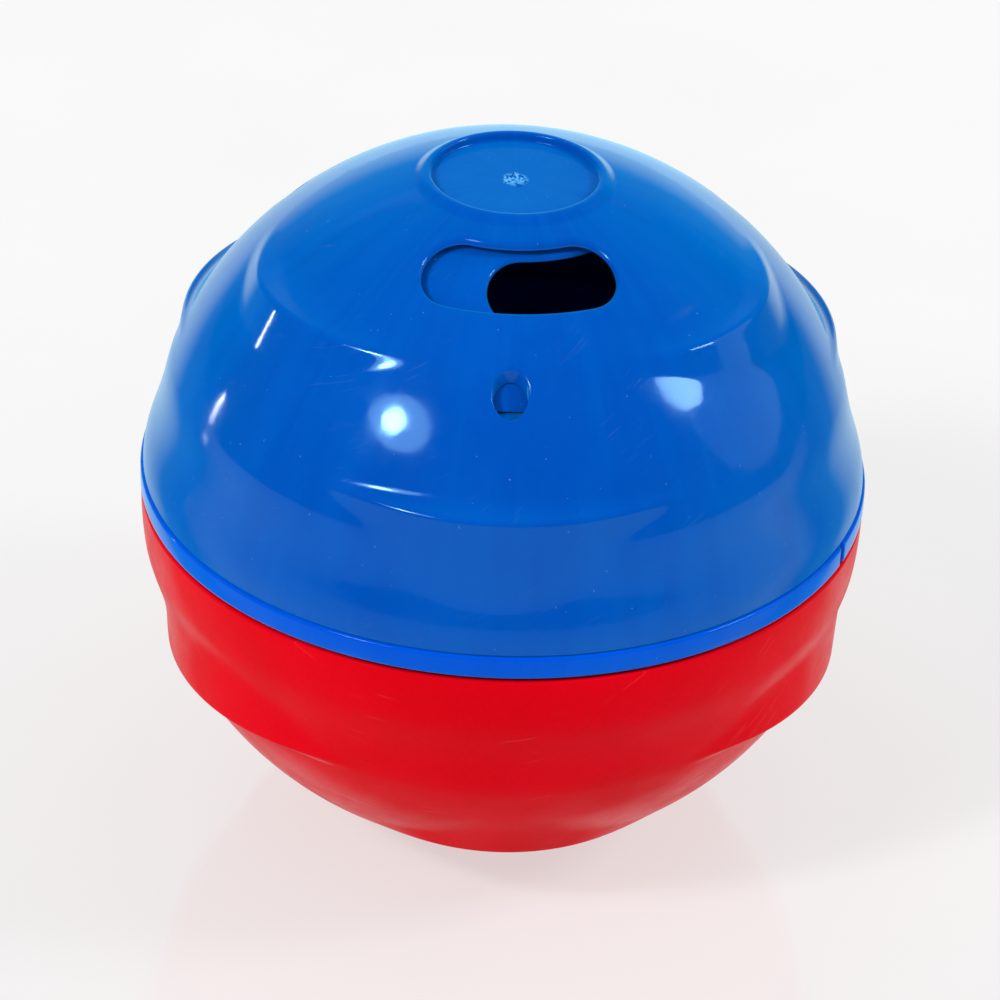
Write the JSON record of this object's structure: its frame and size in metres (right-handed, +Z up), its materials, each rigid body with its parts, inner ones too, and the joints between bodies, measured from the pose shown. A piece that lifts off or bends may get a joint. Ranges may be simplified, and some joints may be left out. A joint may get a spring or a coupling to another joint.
{
  "type": "treat dispensing ball",
  "caption": "Hollow ball of a blue and a red half that screw together, with sculpted shelves, a curved treat slot and a turning shutter inside.",
  "frame": {"origin": "centre of the flat disc under the ball, on the surface that it stands on", "axes": "+Z up along the ball's axis through both end discs, -Y towards the front, where the treat slot is, +X to the right seen from the front"},
  "size_m": [0.1022, 0.1022, 0.1002],
  "materials": {
    "dome_blue": "gloss",
    "shutter_blue": "gloss",
    "band_blue": "gloss",
    "shell_red": "satin"
  },
  "bodies": {
    "lower_half": {"lower_shell": "shell_red"},
    "ring": {"joint_ring": "band_blue"},
    "dome": {"upper_shell": "dome_blue"},
    "slot_shutter": {"shutter": "shutter_blue"}
  },
  "joints": [
    {"name": "lift", "type": "slide", "parent": "lower_half", "child": "ring", "axis": [0, 0, 1], "range_m": [0, 0.009]},
    {"name": "unscrew", "type": "hinge", "parent": "ring", "child": "dome", "pos_m": [0, 0, 0.05], "axis": [0, 0, 1], "range_deg": [0, 270]},
    {"name": "shutter_turn", "type": "hinge", "parent": "dome", "child": "slot_shutter", "pos_m": [0, 0, 0.05], "axis": [0, 0, 1], "range_deg": [-23.5, 48]}
  ],
  "couplings": [
    {"joint": "lift", "follows": "unscrew", "m_per_rad": 0.0019099}
  ]
}
